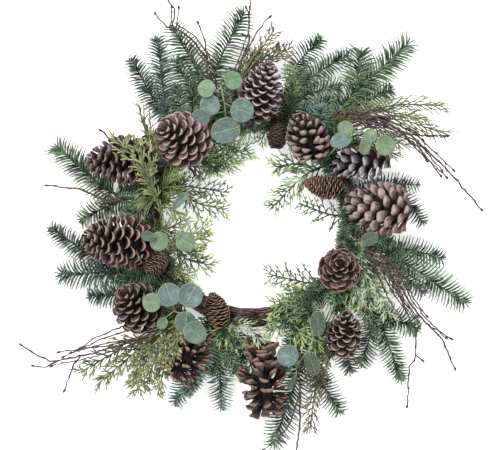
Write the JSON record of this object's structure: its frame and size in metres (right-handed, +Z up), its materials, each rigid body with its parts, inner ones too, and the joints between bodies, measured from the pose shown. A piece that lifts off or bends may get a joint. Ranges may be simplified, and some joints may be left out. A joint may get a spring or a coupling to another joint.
{
  "type": "evergreen wreath",
  "caption": "Round wreath of fir, cedar, knuckled twigs and round eucalyptus leaves on a vine ring, with open pine cones and small closed cones set in it.",
  "frame": {"origin": "Middle of the wreath's outline, on the surface that it lies on.", "axes": "+Z up out of the wreath's face, +Y towards the side that is uppermost when it hangs, +X to its right."},
  "size_m": [0.6524, 0.6568, 0.1056],
  "materials": {
    "vine": "dull brown bark",
    "cone": "woody, reddish brown with pale rims",
    "small_cone": "woody, orange brown",
    "fir": "waxy needle, dark blue-green",
    "cedar_yellow": "scaly leaf, yellow-green",
    "cedar_olive": "scaly leaf, olive",
    "cedar_bright": "scaly leaf, bright green",
    "cedar_grey": "scaly leaf, grey-green",
    "cedar_brown": "scaly leaf, green with brown tips",
    "twig": "dull purple-brown bark",
    "eucalyptus_blue": "waxy bloom, blue-grey",
    "eucalyptus_green": "waxy bloom, sage green"
  },
  "bodies": {
    "root": {"vine_ring": "vine", "cone_upper_left": "cone", "cone_left_high": "cone", "cone_top": "cone", "cone_top_right": "cone", "cone_right_high": "cone", "cone_right": "cone", "cone_left": "cone", "cone_left_low": "cone", "cone_bottom_left": "cone", "cone_bottom": "cone", "cone_inner_right": "cone", "cone_right_low": "cone", "small_cone_top": "small_cone", "small_cone_right": "small_cone", "small_cone_left": "small_cone", "small_cone_low": "small_cone", "fir_top_left": "fir", "fir_top": "fir", "fir_top_right": "fir", "fir_right_high": "fir", "fir_right": "fir", "fir_right_low": "fir", "fir_low_right": "fir", "fir_bottom_right": "fir", "fir_bottom": "fir", "fir_left_low": "fir", "fir_left_high": "fir", "cedar_upper_left": "cedar_yellow", "cedar_over_cone": "cedar_olive", "cedar_left_heart": "cedar_yellow", "cedar_inner_top": "cedar_bright", "cedar_inner_left": "cedar_grey", "cedar_left_inner": "cedar_yellow", "cedar_top": "cedar_brown", "cedar_top_mid": "cedar_bright", "cedar_right_high": "cedar_yellow", "cedar_inner_right": "cedar_bright", "cedar_inner_mid": "cedar_grey", "cedar_inner_low": "cedar_bright", "cedar_bottom_mid": "cedar_bright", "cedar_bottom": "cedar_bright", "cedar_right_low": "cedar_grey", "cedar_bottom_left": "cedar_olive", "cedar_bottom_right": "cedar_brown", "twigs_top_left": "twig", "twigs_top": "twig", "twigs_right_high": "twig", "twigs_bottom_left": "twig", "twigs_right_low": "twig", "twigs_bottom": "twig", "twig_left_high": "twig", "twigs_left": "twig", "eucalyptus_top": "eucalyptus_blue", "eucalyptus_right": "eucalyptus_green", "eucalyptus_left_low": "eucalyptus_blue", "eucalyptus_left": "eucalyptus_green", "eucalyptus_bottom": "eucalyptus_blue", "eucalyptus_right_low": "eucalyptus_green"}
  },
  "joints": []
}
